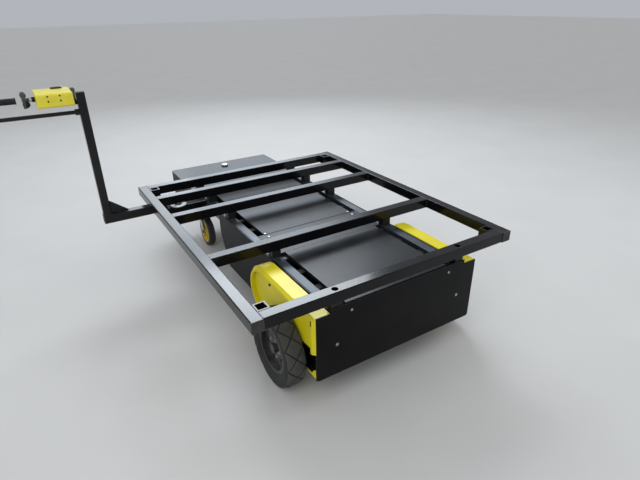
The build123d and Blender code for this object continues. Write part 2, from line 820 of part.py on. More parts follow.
with BuildPart() as gauge_lens:
    with BuildSketch(Plane.XY.offset(control_bottom + control_height)):
        with Locations((control_x + lens_offset, arm_centre_y + control_depth / 2 - lens_setback)):
            SlotOverall(lens_length, lens_width)
    extrude(amount=lens_height)
    fillet(gauge_lens.edges().group_by(Axis.Z)[-1], lens_height / 2)

# Origin: bottom centre of the box round the machine
left_most = -bar_end_x - bar_diameter / 2
right_most = frame_shift + frame_width / 2
origin = Location((-(left_most + right_most) / 2, -(front - plug_lip + box_back) / 2, 0))

# Labels and export
fixed = (
    ("platform_sides", platform_sides.part),
    ("platform_crosses", platform_crosses.part),
    ("tube_plugs", tube_plugs.part),
    ("corner_sockets", corner_sockets.part),
    ("frame_pads", frame_pads.part),
    ("chassis_rails", chassis_rails.part),
    ("chassis_crossbeams", chassis_crossbeams.part),
    ("slot_clips", slot_clips.part),
    ("side_plates", side_plates.part),
    ("belly_pan", belly_pan.part),
    ("end_plate", end_plate.part),
    ("drive_guards", drive_guards.part),
    ("guard_spacers", guard_spacers.part),
    ("axle_bearings", axle_bearings.part),
    ("gearmotors", gearmotors.part),
    ("batteries", batteries.part),
    ("rear_box", rear_box.part),
    ("rear_box_cover", rear_box_cover.part),
    ("caster_plates", caster_plates.part),
    ("handle_outrigger", handle_outrigger.part),
    ("joint_plates", joint_plates.part),
    ("outrigger_cap", outrigger_cap.part),
    ("handle_arm", handle_arm.part),
    ("handle_post", handle_post.part),
    ("handle_gusset", handle_gusset.part),
    ("handle_loop", handle_loop.part),
    ("hand_grip", hand_grip.part),
    ("control_box", control_box.part),
    ("control_bracket", control_bracket.part),
    ("throttle_paddles", throttle_paddles.part),
    ("gauge_lens", gauge_lens.part),
)
for label, shape in list(fixed) + covers + moving:
    part = shape.moved(origin)
    part.label = label
    export_step(part, f"parts/{label}.step")
    print(label, len(part.solids()), round(part.volume / 1000, 1), part.is_valid)
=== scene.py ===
# %% [markdown]
# # An electric cart pusher
# A low black chassis on two driven tyres and two swivel wheels, with a flat frame of square tube on top and
# a tall handle at one side. The solids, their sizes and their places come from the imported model. This
# script gives them their finishes and adds what the solids leave out: tread, bolts, welds and trim.

import json
import math

import bmesh
import bpy
from mathutils import Matrix, Vector


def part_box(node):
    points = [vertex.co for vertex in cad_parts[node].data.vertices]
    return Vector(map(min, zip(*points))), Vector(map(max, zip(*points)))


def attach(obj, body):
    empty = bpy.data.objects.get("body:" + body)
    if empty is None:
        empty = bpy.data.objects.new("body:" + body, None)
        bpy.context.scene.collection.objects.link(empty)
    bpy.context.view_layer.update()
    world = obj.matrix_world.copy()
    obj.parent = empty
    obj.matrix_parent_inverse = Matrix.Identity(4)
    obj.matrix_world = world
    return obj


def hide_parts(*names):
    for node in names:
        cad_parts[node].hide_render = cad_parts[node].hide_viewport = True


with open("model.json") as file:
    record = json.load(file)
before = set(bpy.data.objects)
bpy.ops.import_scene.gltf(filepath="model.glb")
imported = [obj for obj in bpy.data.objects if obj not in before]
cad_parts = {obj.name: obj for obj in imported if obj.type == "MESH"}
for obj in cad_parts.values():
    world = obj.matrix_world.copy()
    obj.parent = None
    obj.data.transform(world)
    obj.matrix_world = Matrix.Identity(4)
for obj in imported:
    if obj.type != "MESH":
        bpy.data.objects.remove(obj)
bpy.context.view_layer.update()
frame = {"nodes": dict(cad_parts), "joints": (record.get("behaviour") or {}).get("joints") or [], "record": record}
scene = bpy.context.scene
nodes = frame["nodes"]

# %% [markdown]
# ## Places
# New pieces are placed from the solids. A joint's own position gives a wheel's centre, and the gaps between
# a node's vertices give the places of the separate tubes that share the node. Small fixings are placed in
# millimetres from the floor under the middle of the drive axle.

# %% Find the axles and the tubes
MM = 0.001
pivots = {joint["name"]: Vector(joint["pos_m"]) for joint in frame["joints"]}
axle_right = pivots["drive_wheel_spin_right"]
axle_left = pivots["drive_wheel_spin_left"]
middle_x = (axle_right.x + axle_left.x) / 2


def runs(node, axis, gap):
    """The stretches along one axis that a node's separate pieces take up."""
    values = sorted(vertex.co[axis] for vertex in nodes[node].data.vertices)
    found = [[values[0], values[0]]]
    for value in values:
        if value - found[-1][1] > gap:
            found.append([value, value])
        found[-1][1] = value
    return found


between_tubes = 60 * MM
cross_runs = runs("platform_crosses", 1, between_tubes)
print("axle", axle_right, "cross tubes", len(cross_runs))

# %% [markdown]
# ## Camera
# The camera stands where the photograph was taken, to the left of the drive end and at eye level. Its place
# in metres, its turns in degrees and its lens were solved from the corners of the tube frame.

# %% Camera
eye = (-0.79345, -2.28455, 1.520)
turned_right = 31.65
looking_down = 26.64
rolled = 0.75
camera_data = bpy.data.cameras.new("camera")
camera_data.lens = 26.94
camera_data.sensor_width = 36.0
camera = bpy.data.objects.new("camera", camera_data)
scene.collection.objects.link(camera)
turn = Matrix.Rotation(math.radians(-turned_right), 4, "Z")
tilt = Matrix.Rotation(math.radians(90 - looking_down), 4, "X")
roll = Matrix.Rotation(math.radians(-rolled), 4, "Z")
camera.matrix_world = Matrix.Translation(eye) @ turn @ tilt @ roll
scene.camera = camera
scene.view_settings.view_transform = "Standard"
print("camera", camera.location)

# %% [markdown]
# ## Light
# Black gloss paint shows its surroundings more than its own colour. A broad lamp, a small one and a soft
# window behind the machine lay a sheen on the tops of the tubes, as daylight does in the photograph. The
# window is part of the world and is seen in reflections alone, so it hardly lights the floor. A pale world
# and two soft lamps in front keep the faces readable.

# %% World
def world_node(kind, **sockets):
    """A node of the world, with some of its inputs set."""
    node = sky.nodes.new(kind)
    for label, value in sockets.items():
        node.inputs[label.replace("_", " ")].default_value = value
    return node


def either_ray(first, second):
    """One where either of two ray types is true."""
    node = world_node("ShaderNodeMath")
    node.operation = "MAXIMUM"
    sky.links.new(first, node.inputs[0])
    sky.links.new(second, node.inputs[1])
    return node.outputs[0]


world = bpy.data.worlds.new("pale_room")
scene.world = world
world.use_nodes = True
sky = world.node_tree
sky.nodes.clear()
room_light = world_node("ShaderNodeBackground", Color=(0.95, 0.97, 1.0, 1), Strength=0.68)
room_seen = world_node("ShaderNodeBackground", Color=(0.44, 0.46, 0.50, 1))
ray = sky.nodes.new("ShaderNodeLightPath")
sees_room = either_ray(ray.outputs["Is Camera Ray"], ray.outputs["Is Glossy Ray"])
sees_room = either_ray(sees_room, ray.outputs["Is Transmission Ray"])
print("world", world.name)

# %% The soft window: a round patch of the sky behind the machine, brightest in its middle
window_azimuth = math.radians(22.0)
window_height = math.radians(26.0)
window_edge = math.cos(math.radians(15.2))
window_core = math.cos(math.radians(3.6))
window_strength = 4.5
level = math.cos(window_height)
toward = world_node("ShaderNodeVectorMath")
toward.operation = "DOT_PRODUCT"
toward.inputs[1].default_value = (
    level * math.sin(window_azimuth), level * math.cos(window_azimuth), math.sin(window_height),
)
sky.links.new(sky.nodes.new("ShaderNodeTexCoord").outputs["Generated"], toward.inputs[0])
patch = world_node("ShaderNodeMapRange", From_Min=window_edge, From_Max=window_core, To_Max=window_strength)
patch.interpolation_type = "SMOOTHSTEP"
sky.links.new(toward.outputs["Value"], patch.inputs["Value"])
in_gloss = world_node("ShaderNodeMath")
in_gloss.operation = "MULTIPLY"
sky.links.new(patch.outputs["Result"], in_gloss.inputs[0])
sky.links.new(ray.outputs["Is Glossy Ray"], in_gloss.inputs[1])
window_seen = world_node("ShaderNodeBackground", Color=(0.80, 0.90, 1.0, 1))
sky.links.new(in_gloss.outputs[0], window_seen.inputs["Strength"])
print("window", [round(value, 3) for value in toward.inputs[1].default_value])

# %% What is seen and what lights the machine
seen = sky.nodes.new("ShaderNodeAddShader")
sky.links.new(room_seen.outputs[0], seen.inputs[0])
sky.links.new(window_seen.outputs[0], seen.inputs[1])
choose = sky.nodes.new("ShaderNodeMixShader")
sky.links.new(sees_room, choose.inputs[0])
sky.links.new(room_light.outputs[0], choose.inputs[1])
sky.links.new(seen.outputs[0], choose.inputs[2])
sky.links.new(choose.outputs[0], sky.nodes.new("ShaderNodeOutputWorld").inputs["Surface"])
print("world nodes", len(sky.nodes))


# %% Lamps
def soft_lamp(name, place, aim, size, power, colour, spread=180):
    """A broad area lamp that points at a place and that the camera doesn't see."""
    data = bpy.data.lights.new(name, "AREA")
    data.shape = "RECTANGLE"
    data.size, data.size_y = size
    data.energy = power
    data.color = colour
    data.spread = math.radians(spread)
    lamp = bpy.data.objects.new(name, data)
    scene.collection.objects.link(lamp)
    lamp.location = place
    lamp.visible_camera = False
    lamp.rotation_euler = (Vector(aim) - Vector(place)).to_track_quat("-Z", "Y").to_euler()
    return lamp


middle = (0, 0, 0.4)
daylight = (0.88, 0.94, 1.0)
soft_lamp("sheen_lamp", (2.6, 4.6, 4.9), (0, 0, 0.5), (3.4, 1.7), 110, daylight, spread=125)
soft_lamp("window_lamp", (0.55, 4.6, 2.1), (-0.2, 0, 0.5), (1.2, 1.4), 1.2, daylight, spread=60)
soft_lamp("key_lamp", (-2.6, -2.6, 3.6), middle, (2.4, 2.4), 40, (1.0, 0.98, 0.95))
soft_lamp("side_lamp", (3.4, -1.6, 2.8), middle, (2.4, 2.0), 20, (0.95, 0.98, 1.0))

# %% [markdown]
# ## Effects that several finishes share
# Each effect is a node group with named inputs, so that a paint, a casting and a rubber can use the same
# mottling, rubbed edges with their painted highlight, dust and fine grain with their own values.

# %% Helpers for node groups
# The two colour inputs of a Mix node, whose names its number inputs share
mix_below = 6
mix_above = 7


def start_group(name, inputs, outputs):
    """A new shader node group with its sockets, and its input and output nodes."""
    group = bpy.data.node_groups.new(name, "ShaderNodeTree")
    for label, kind, value in inputs:
        socket = group.interface.new_socket(name=label, in_out="INPUT", socket_type=kind)
        if value is not None:
            socket.default_value = value
    for label, kind in outputs:
        group.interface.new_socket(name=label, in_out="OUTPUT", socket_type=kind)
    return group, group.nodes.new("NodeGroupInput"), group.nodes.new("NodeGroupOutput")


def add_noise(group, vector, scale, detail):
    """A noise texture inside a group, at a scale that a socket gives."""
    noise = group.nodes.new("ShaderNodeTexNoise")
    noise.inputs["Detail"].default_value = detail
    group.links.new(vector, noise.inputs["Vector"])
    group.links.new(scale, noise.inputs["Scale"])
    return noise


def add_range(group, value, low, high, to_low=0.0, to_high=1.0):
    """A Map Range node that stretches one band of values."""
    spread = group.nodes.new("ShaderNodeMapRange")
    spread.inputs["From Min"].default_value = low
    spread.inputs["From Max"].default_value = high
    spread.inputs["To Min"].default_value = to_low
    spread.inputs["To Max"].default_value = to_high
    group.links.new(value, spread.inputs["Value"])
    return spread.outputs["Result"]


def add_math(group, operation, first, second):
    """A Math node of two sockets, or of a socket and a number."""
    node = group.nodes.new("ShaderNodeMath")
    node.operation = operation
    for slot_number, source in enumerate((first, second)):
        if isinstance(source, float):
            node.inputs[slot_number].default_value = source
        else:
            group.links.new(source, node.inputs[slot_number])
    return node.outputs[0]


print("helpers", start_group.__name__, add_noise.__name__, add_range.__name__, add_math.__name__)

# %% Mottling: two colours of one finish, in soft patches
mottle, given, result = start_group(
    "mottle",
    (
        ("Vector", "NodeSocketVector", None),
        ("Light", "NodeSocketColor", (0.5, 0.5, 0.5, 1)),
        ("Dark", "NodeSocketColor", (0.3, 0.3, 0.3, 1)),
        ("Scale", "NodeSocketFloat", 6.0),
    ),
    (("Color", "NodeSocketColor"),),
)
patches = add_noise(mottle, given.outputs["Vector"], given.outputs["Scale"], 7.0)
blend = mottle.nodes.new("ShaderNodeMix")
blend.data_type = "RGBA"
mottle.links.new(add_range(mottle, patches.outputs["Fac"], 0.35, 0.65), blend.inputs["Factor"])
mottle.links.new(given.outputs["Dark"], blend.inputs[mix_below])
mottle.links.new(given.outputs["Light"], blend.inputs[mix_above])
mottle.links.new(blend.outputs[2], result.inputs["Color"])
print("group", mottle.name)

# %% Rubbed edges and a painted edge highlight: where a rounded normal leaves the true one, the paint is thin
edge_wear_and_highlight, given, result = start_group(
    "edge_wear_and_highlight",
    (
        ("Vector", "NodeSocketVector", None),
        ("Width", "NodeSocketFloat", 0.003),
        ("Amount", "NodeSocketFloat", 0.5),
    ),
    (("Mask", "NodeSocketFloat"),),
)
rounded = edge_wear_and_highlight.nodes.new("ShaderNodeBevel")
rounded.samples = 4
edge_wear_and_highlight.links.new(given.outputs["Width"], rounded.inputs["Radius"])
true_normal = edge_wear_and_highlight.nodes.new("ShaderNodeNewGeometry")
agree = edge_wear_and_highlight.nodes.new("ShaderNodeVectorMath")
agree.operation = "DOT_PRODUCT"
edge_wear_and_highlight.links.new(rounded.outputs["Normal"], agree.inputs[0])
edge_wear_and_highlight.links.new(true_normal.outputs["Normal"], agree.inputs[1])
edge = add_range(edge_wear_and_highlight, agree.outputs["Value"], 0.97, 0.78)
chips = edge_wear_and_highlight.nodes.new("ShaderNodeTexNoise")
chips.inputs["Scale"].default_value = 70.0
chips.inputs["Detail"].default_value = 5.0
edge_wear_and_highlight.links.new(given.outputs["Vector"], chips.inputs["Vector"])
broken = add_range(edge_wear_and_highlight, chips.outputs["Fac"], 0.42, 0.62)
worn_and_lit_rim = add_math(edge_wear_and_highlight, "MULTIPLY", edge, broken)
edge_wear_and_highlight.links.new(add_math(edge_wear_and_highlight, "MULTIPLY", worn_and_lit_rim, given.outputs["Amount"]), result.inputs["Mask"])
print("group", edge_wear_and_highlight.name)

# %% Settled dust: thickest where a surface faces up
settled_dust, given, result = start_group(
    "settled_dust",
    (
        ("Vector", "NodeSocketVector", None),
        ("Scale", "NodeSocketFloat", 9.0),
        ("Amount", "NodeSocketFloat", 0.3),
    ),
    (("Mask", "NodeSocketFloat"),),
)
surface = settled_dust.nodes.new("ShaderNodeNewGeometry")
parts = settled_dust.nodes.new("ShaderNodeSeparateXYZ")
settled_dust.links.new(surface.outputs["Normal"], parts.inputs["Vector"])
upward = add_range(settled_dust, parts.outputs["Z"], -0.4, 1.0, 0.15, 1.0)
drifts = add_noise(settled_dust, given.outputs["Vector"], given.outputs["Scale"], 8.0)
patchy = add_range(settled_dust, drifts.outputs["Fac"], 0.38, 0.72)
lying = add_math(settled_dust, "MULTIPLY", upward, patchy)
covered = add_math(settled_dust, "MULTIPLY", lying, given.outputs["Amount"])
settled_dust.links.new(covered, result.inputs["Mask"])
print("group", settled_dust.name)

# %% Fine grain: the texture of sprayed paint, rubber or cast iron
fine_grain, given, result = start_group(
    "fine_grain",
    (
        ("Vector", "NodeSocketVector", None),
        ("Scale", "NodeSocketFloat", 400.0),
        ("Waviness", "NodeSocketFloat", 0.3),
    ),
    (("Height", "NodeSocketFloat"),),
)
grain = add_noise(fine_grain, given.outputs["Vector"], given.outputs["Scale"], 3.0)
wave_scale = add_math(fine_grain, "MULTIPLY", given.outputs["Scale"], 0.04)
waves = add_noise(fine_grain, given.outputs["Vector"], wave_scale, 2.0)
slow = add_math(fine_grain, "MULTIPLY", waves.outputs["Fac"], given.outputs["Waviness"])
fine_grain.links.new(add_math(fine_grain, "ADD", grain.outputs["Fac"], slow), result.inputs["Height"])
print("group", fine_grain.name)

# %% [markdown]
# ## Finishes
# One builder makes every finish from the shared effects: a mottled base, bare metal or primer at rubbed
# edges, which on the dark paints is also a painted highlight, dust on top, and a fine grain in the normal.
# What is the same all over, such as metal or a clear coat, is set straight on the shader.

# %% The builder
# How much full dust adds to the roughness, and how strongly the grain bends the normal
dust_dulls = 0.45
bump_strength = 0.6


def finish(name, light, dark, rough, **with_values):
    """A material from the shared effects."""
    values = {
        "patch": 5.0, "worn": (0.30, 0.30, 0.31), "width": 0.003, "wear": 0.5, "dust": 0.25,
        "dust_scale": 7.0, "grain": 500.0, "wavy": 0.3, "depth": 0.0002, "metal": 0.0,
        "coat": 0.0, "coat_rough": 0.1, "specular": 0.5, "dust_colour": (0.30, 0.29, 0.27),
    }
    values.update(with_values)
    material = bpy.data.materials.new(name)
    material.use_nodes = True
    group = material.node_tree
    shader = group.nodes["Principled BSDF"]
    place = group.nodes.new("ShaderNodeTexCoord").outputs["Object"]

    def effect(source, **sockets):
        node = group.nodes.new("ShaderNodeGroup")
        node.node_tree = source
        group.links.new(place, node.inputs["Vector"])
        for label, value in sockets.items():
            node.inputs[label].default_value = value
        return node.outputs[0]

    def over(mask, below, colour):
        node = group.nodes.new("ShaderNodeMix")
        node.data_type = "RGBA"
        group.links.new(mask, node.inputs["Factor"])
        group.links.new(below, node.inputs[mix_below])
        node.inputs[mix_above].default_value = (*colour, 1)
        return node.outputs[2]

    colour = effect(mottle, Light=(*light, 1), Dark=(*dark, 1), Scale=values["patch"])
    # Rubbed edges; on the dark paints the lighter edge colour is also a painted highlight
    worn_and_lit_edges = effect(edge_wear_and_highlight, Width=values["width"], Amount=values["wear"])
    dusty = effect(settled_dust, Scale=values["dust_scale"], Amount=values["dust"])
    colour = over(worn_and_lit_edges, colour, values["worn"])
    group.links.new(over(dusty, colour, values["dust_colour"]), shader.inputs["Base Color"])
    dulled = add_math(group, "MULTIPLY", dusty, dust_dulls)
    group.links.new(add_math(group, "ADD", dulled, float(rough)), shader.inputs["Roughness"])
    bump = group.nodes.new("ShaderNodeBump")
    bump.inputs["Strength"].default_value = bump_strength
    bump.inputs["Distance"].default_value = values["depth"]
    height = effect(fine_grain, Scale=values["grain"], Waviness=values["wavy"])
    group.links.new(height, bump.inputs["Height"])
    group.links.new(bump.outputs["Normal"], shader.inputs["Normal"])
    shader.inputs["Metallic"].default_value = values["metal"]
    shader.inputs["Coat Weight"].default_value = values["coat"]
    shader.inputs["Coat Roughness"].default_value = values["coat_rough"]
    shader.inputs["Specular IOR Level"].default_value = values["specular"]
    return material


print("builder", finish.__name__)

# %% Paints
looks = {
    "frame_paint": finish("frame_paint", (0.0050, 0.0050, 0.0062), (0.0028, 0.0028, 0.0036), 0.18,
                          wear=0.35, dust=0.04, coat=0.15, coat_rough=0.08, wavy=0.9, depth=0.00003,
                          specular=0.15, dust_colour=(0.16, 0.16, 0.16)),
    "steel_dark": finish("steel_dark", (0.010, 0.010, 0.011), (0.005, 0.005, 0.006), 0.45, wear=0.4,
                         dust=0.10, specular=0.3),
    "rail_steel": finish("rail_steel", (0.050, 0.063, 0.080), (0.034, 0.043, 0.055), 0.38,
                         metal=0.5, patch=11.0, dust=0.10, wear=0.3, worn=(0.30, 0.31, 0.32),
                         specular=0.3),
    "sheet_grey": finish("sheet_grey", (0.016, 0.018, 0.021), (0.010, 0.011, 0.014), 0.30,
                         dust=0.05, wear=0.4, coat=0.02, wavy=0.8, depth=0.00008, specular=0.12),
    "body_black": finish("body_black", (0.0050, 0.0050, 0.0060), (0.0028, 0.0028, 0.0034), 0.42,
                         wear=0.35, dust=0.04, wavy=0.8, depth=0.00008, specular=0.12,
                         dust_colour=(0.16, 0.16, 0.16)),
    "guard_yellow": finish("guard_yellow", (0.80, 0.71, 0.012), (0.70, 0.60, 0.009), 0.34,
                           worn=(0.30, 0.25, 0.08), wear=0.5, dust=0.07, coat=0.06, wavy=0.6,
                           specular=0.22, depth=0.00008),
    "control_yellow": finish("control_yellow", (0.83, 0.74, 0.055), (0.74, 0.64, 0.035), 0.35,
                             worn=(0.55, 0.50, 0.20), wear=0.4, dust=0.06, patch=14.0),
    "post_black": finish("post_black", (0.0060, 0.0060, 0.0070), (0.0035, 0.0035, 0.0042), 0.28,
                         wear=0.4, dust=0.06, coat=0.2, depth=0.00006, specular=0.25,
                         dust_colour=(0.18, 0.18, 0.18)),
    "clip_rust": finish("clip_rust", (0.026, 0.019, 0.014), (0.014, 0.011, 0.009), 0.7, patch=40.0,
                        wear=0.3, worn=(0.07, 0.05, 0.04), dust=0.05, grain=260.0, depth=0.0006,
                        specular=0.15),
    "rim_paint": finish("rim_paint", (0.02, 0.02, 0.022), (0.010, 0.010, 0.011), 0.40,
                        wear=0.5, dust=0.35),
}
print("paints", len(looks))

# %% Metals, rubbers and plastics
looks.update({
    "zinc": finish("zinc", (0.52, 0.52, 0.51), (0.36, 0.36, 0.35), 0.34, metal=1.0, patch=24.0,
                   worn=(0.66, 0.66, 0.65), dust=0.15, depth=0.0001),
    "cast_grey": finish("cast_grey", (0.055, 0.056, 0.058), (0.03, 0.03, 0.032), 0.6, grain=260.0,
                        depth=0.0008, wear=0.4, dust=0.3),
    "battery_case": finish("battery_case", (0.03, 0.03, 0.034), (0.02, 0.02, 0.022), 0.55, dust=0.4),
    "tyre": finish("tyre", (0.020, 0.020, 0.020), (0.012, 0.012, 0.012), 0.75, grain=300.0,
                   depth=0.0006, wear=0.15, worn=(0.08, 0.08, 0.078), dust=0.45,
                   dust_colour=(0.10, 0.098, 0.092)),
    "caster_yellow": finish("caster_yellow", (0.72, 0.56, 0.03), (0.60, 0.45, 0.02), 0.42, wear=0.4,
                            worn=(0.45, 0.38, 0.12), dust=0.25, patch=18.0),
    "caster_rubber": finish("caster_rubber", (0.035, 0.035, 0.036), (0.02, 0.02, 0.02), 0.7,
                            wear=0.2, dust=0.5, dust_colour=(0.14, 0.135, 0.13)),
    "plug_black": finish("plug_black", (0.012, 0.012, 0.012), (0.008, 0.008, 0.008), 0.5, wear=0.2),
    "grip_rubber": finish("grip_rubber", (0.012, 0.012, 0.014), (0.007, 0.007, 0.009), 0.60,
                          wear=0.2, grain=700.0, depth=0.0005, dust=0.06, specular=0.25),
    "paddle_grey": finish("paddle_grey", (0.055, 0.070, 0.062), (0.032, 0.040, 0.036), 0.5,
                          wear=0.4, worn=(0.20, 0.22, 0.18), patch=30.0),
    "lens_black": finish("lens_black", (0.008, 0.008, 0.009), (0.006, 0.006, 0.006), 0.12,
                         wear=0.1, dust=0.08, coat=0.5),
})
tread_grey = finish("tread_grey", (0.072, 0.072, 0.069), (0.044, 0.044, 0.042), 0.85, patch=16.0,
                    grain=220.0, depth=0.0009, wear=0.25, worn=(0.13, 0.127, 0.12), dust=0.38,
                    dust_scale=14.0, dust_colour=(0.13, 0.127, 0.118))
print("finishes", len(looks) + 1)

# %% Give each solid its finish
for part in frame["record"]["subparts"]:
    solid = nodes[part["node"]]
    if not solid.data.materials:
        solid.data.materials.append(None)
    look = "clip_rust" if part["node"] == "slot_clips" else part["material_slot"]
    for index in range(len(solid.data.materials)):
        solid.data.materials[index] = looks[look]

# %% [markdown]
# ## Floor
# A plain pale floor that runs to the horizon, with a faint mottle so that it isn't one flat tone.

# %% Floor
pale_floor = finish("pale_floor", (0.60, 0.60, 0.59), (0.58, 0.58, 0.572), 0.80, patch=2.0, wear=0.0,
                    dust=0.0)
floor_reach = 40.0
shape = bmesh.new()
bmesh.ops.create_grid(shape, x_segments=1, y_segments=1, size=floor_reach)
floor_mesh = bpy.data.meshes.new("floor")
shape.to_mesh(floor_mesh)
shape.free()
floor = bpy.data.objects.new("floor", floor_mesh)
floor_mesh.materials.append(pale_floor)
scene.collection.objects.link(floor)
print("floor", floor.dimensions)

# %% [markdown]
# ## Pieces
# A new piece is modelled straight in the row frame, rides on the body that carries it, and shades smooth
# except across its real edges.

# %% Turn a bmesh into a piece
def make_piece(name, shape, body, *materials, slot=None, angle=35):
    """Turns a bmesh into an object that rides on a body."""
    bmesh.ops.recalc_face_normals(shape, faces=shape.faces)
    mesh = bpy.data.meshes.new(name)
    shape.to_mesh(mesh)
    shape.free()
    for material in materials:
        mesh.materials.append(material)
    for face in mesh.polygons:
        face.use_smooth = True
    mesh.set_sharp_from_angle(angle=math.radians(angle))
    piece = bpy.data.objects.new(name, mesh)
    scene.collection.objects.link(piece)
    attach(piece, body)
    print(name, len(mesh.polygons), "faces")
    return piece


def place_matrix(place, *stretch):
    """A matrix that moves a unit shape to a place, stretched along its axes."""
    return Matrix.Translation(place) @ Matrix.Diagonal((*stretch, 1))


print("helpers", make_piece.__name__, place_matrix.__name__)


# %% Reuse a small shape
def join(shape, small):
    """Adds a small bmesh to a larger one."""
    flat = bpy.data.meshes.new("small")
    small.to_mesh(flat)
    small.free()
    shape.from_mesh(flat)
    bpy.data.meshes.remove(flat)


def keep(name, small):
    """Turns a small bmesh into a mesh that can be stamped many times."""
    mesh = bpy.data.meshes.new(name)
    small.to_mesh(mesh)
    small.free()
    return mesh


def stamp(shape, mesh, matrix):
    """Adds a placed copy of a kept mesh to a shape."""
    placed = mesh.copy()
    placed.transform(matrix)
    shape.from_mesh(placed)
    bpy.data.meshes.remove(placed)


def spot(x, y, z):
    """A point in millimetres from the floor under the middle of the drive axle."""
    return Vector((middle_x + x * MM, axle_right.y + y * MM, z * MM))


def facing(place, direction, size=1.0):
    """A matrix that stands a shape on a place, along a direction."""
    turned = Vector(direction).to_track_quat("Z", "Y").to_matrix().to_4x4()
    return Matrix.Translation(place) @ turned @ Matrix.Scale(size, 4)


print("corner of the frame", spot(-686, -250, 540))

# %% [markdown]
# ## Tyres
# Each drive tyre is a small pneumatic one with a worn diamond tread: two thin zigzag grooves cross on the
# middle line twelve times round. The carcass is one profile spun about the axle. The blocks are cut flat,
# a diamond and the two triangles beside it, and then bent round the carcass, so that their sides stay
# square to the tread.

# %% Sizes of the tyre
low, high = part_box("tyre_right")
tyre_radius = (high.z - low.z) / 2
tyre_half = (high.x - low.x) / 2
bore_radius = 101.8 * MM
groove_depth = 4.0 * MM
groove_width = 6.0 * MM
flat_half = 15 * MM
crown_run = 25 * MM
crown_drop = 4 * MM
shoulder = 42 * MM
repeat_count = 12
repeat = 2 * math.pi * tyre_radius / repeat_count
half_repeat = repeat / 2
print("tyre", round(2 * tyre_radius, 4), "repeat", round(repeat, 4))


def crown(across):
    """The height of the tread above the axle, a distance off the middle line."""
    share = max(0.0, abs(across) - flat_half) / crown_run
    return tyre_radius - crown_drop * share * share


# %% Carcass
carcass_steps = 96

# Under the tread: distances off the middle line
under_tread = (0, 15, 28, 38)

# Side wall, from the shoulder in to the bore: millimetres in from the side, and above the axle
side_wall = (
    (2.4, 168.5), (0.8, 161), (0, 150), (0, 146.6), (1.2, 145.6), (1.2, 141), (2.6, 133), (5.2, 125),
    (8.5, 119.5), (8.5, 117.2), (14, 114.8),
)


def spin_carcass(shape, centre):
    """Spins the tyre's profile about the axle through a centre."""
    half = [(across * MM, crown(across * MM) - groove_depth) for across in under_tread]
    half += [(tyre_half - inset * MM, height * MM) for inset, height in side_wall]
    half.append((half[-1][0], bore_radius))
    outline = [(-across, height) for across, height in reversed(half[1:])] + half
    ring = [shape.verts.new(centre + Vector((across, 0, height))) for across, height in outline]
    edges = [shape.edges.new(pair) for pair in zip(ring, ring[1:] + ring[:1])]
    bmesh.ops.spin(shape, geom=ring + edges, cent=centre, axis=(1, 0, 0), angle=2 * math.pi,
                   steps=carcass_steps, use_merge=True)
    bmesh.ops.remove_doubles(shape, verts=shape.verts, dist=1e-6)


print("side wall points", len(side_wall))

# %% Cut and raise a tread block
block_root = 1 * MM
block_soften = 1.2 * MM

# Where a block is cut so that it can bend: across the tyre, and along it in eighths of a repeat
cuts_across = (-28, -15, 0, 15, 28)
cuts_along = range(-3, 4)


def cut(block, place, normal, **keeping):
    """Cuts a whole bmesh along a plane."""
    everything = block.verts[:] + block.edges[:] + block.faces[:]
    bmesh.ops.bisect_plane(block, geom=everything, plane_co=place, plane_no=normal, **keeping)


def cut_block(corners):
    """One flat block: inset by half a groove, trimmed at the shoulder, cut so that it bends, and raised."""
    block = bmesh.new()
    block.faces.new([block.verts.new((along, across, 0)) for along, across in corners])
    block.normal_update()
    bmesh.ops.inset_individual(block, faces=block.faces, thickness=groove_width / 2, use_even_offset=True)
    inner = max(block.faces, key=lambda face: face.calc_area())
    bmesh.ops.delete(block, geom=[face for face in block.faces if face is not inner], context="FACES")
    for outward in (-1, 1):
        cut(block, (0, outward * shoulder, 0), (0, outward, 0), clear_outer=True)
    for across in cuts_across:
        cut(block, (0, across * MM, 0), (0, 1, 0))
    for number in cuts_along:
        cut(block, (number * repeat / 8, 0, 0), (1, 0, 0))
    raised = bmesh.ops.extrude_face_region(block, geom=block.faces[:])
    tops = [v for v in raised["geom"] if isinstance(v, bmesh.types.BMVert)]
    bmesh.ops.translate(block, verts=tops, vec=(0, 0, groove_depth + block_root))
    top_faces = {f for f in block.faces if all(v in tops for v in f.verts)}
    rims = [e for e in block.edges if sum(f in top_faces for f in e.link_faces) == 1]
    bmesh.ops.bevel(block, geom=rims, offset=block_soften, offset_type="OFFSET", segments=2,
                    profile=0.5, affect="EDGES", material=-1, clamp_overlap=True)
    return block


print("cuts", len(cuts_across) + len(cuts_along))


# %% Bend a block round the tyre and repeat it
def bend_round(block, centre):
    """Bends a flat block round the axle through a centre."""
    for vertex in block.verts:
        along, across, rise = vertex.co
        angle = along / tyre_radius
        radius = crown(across) - groove_depth - block_root + rise
        vertex.co = centre + Vector((across, radius * math.sin(angle), radius * math.cos(angle)))


def spin_blocks(shape, centre, first_face):
    """Copies what came after a face number round the whole tyre."""
    shape.faces.ensure_lookup_table()
    faces = shape.faces[first_face:]
    parts = list({v for f in faces for v in f.verts}) + list({e for f in faces for e in f.edges}) + faces
    bmesh.ops.spin(shape, geom=parts, cent=centre, axis=(1, 0, 0),
                   angle=2 * math.pi * (repeat_count - 1) / repeat_count,
                   steps=repeat_count - 1, use_duplicate=True)


print("blocks round a tyre", 3 * repeat_count)

# %% Both tyres
# The outer blocks are drawn past the shoulder and trimmed there, so that no groove runs along it
beyond = 55 * MM
diamond = ((-half_repeat, 0), (0, -shoulder), (half_repeat, 0), (0, shoulder))
outer_block = (
    (0, 0), (half_repeat, shoulder), (half_repeat, beyond),
    (-half_repeat, beyond), (-half_repeat, shoulder),
)
opposite_block = tuple((-along, -across) for along, across in outer_block)

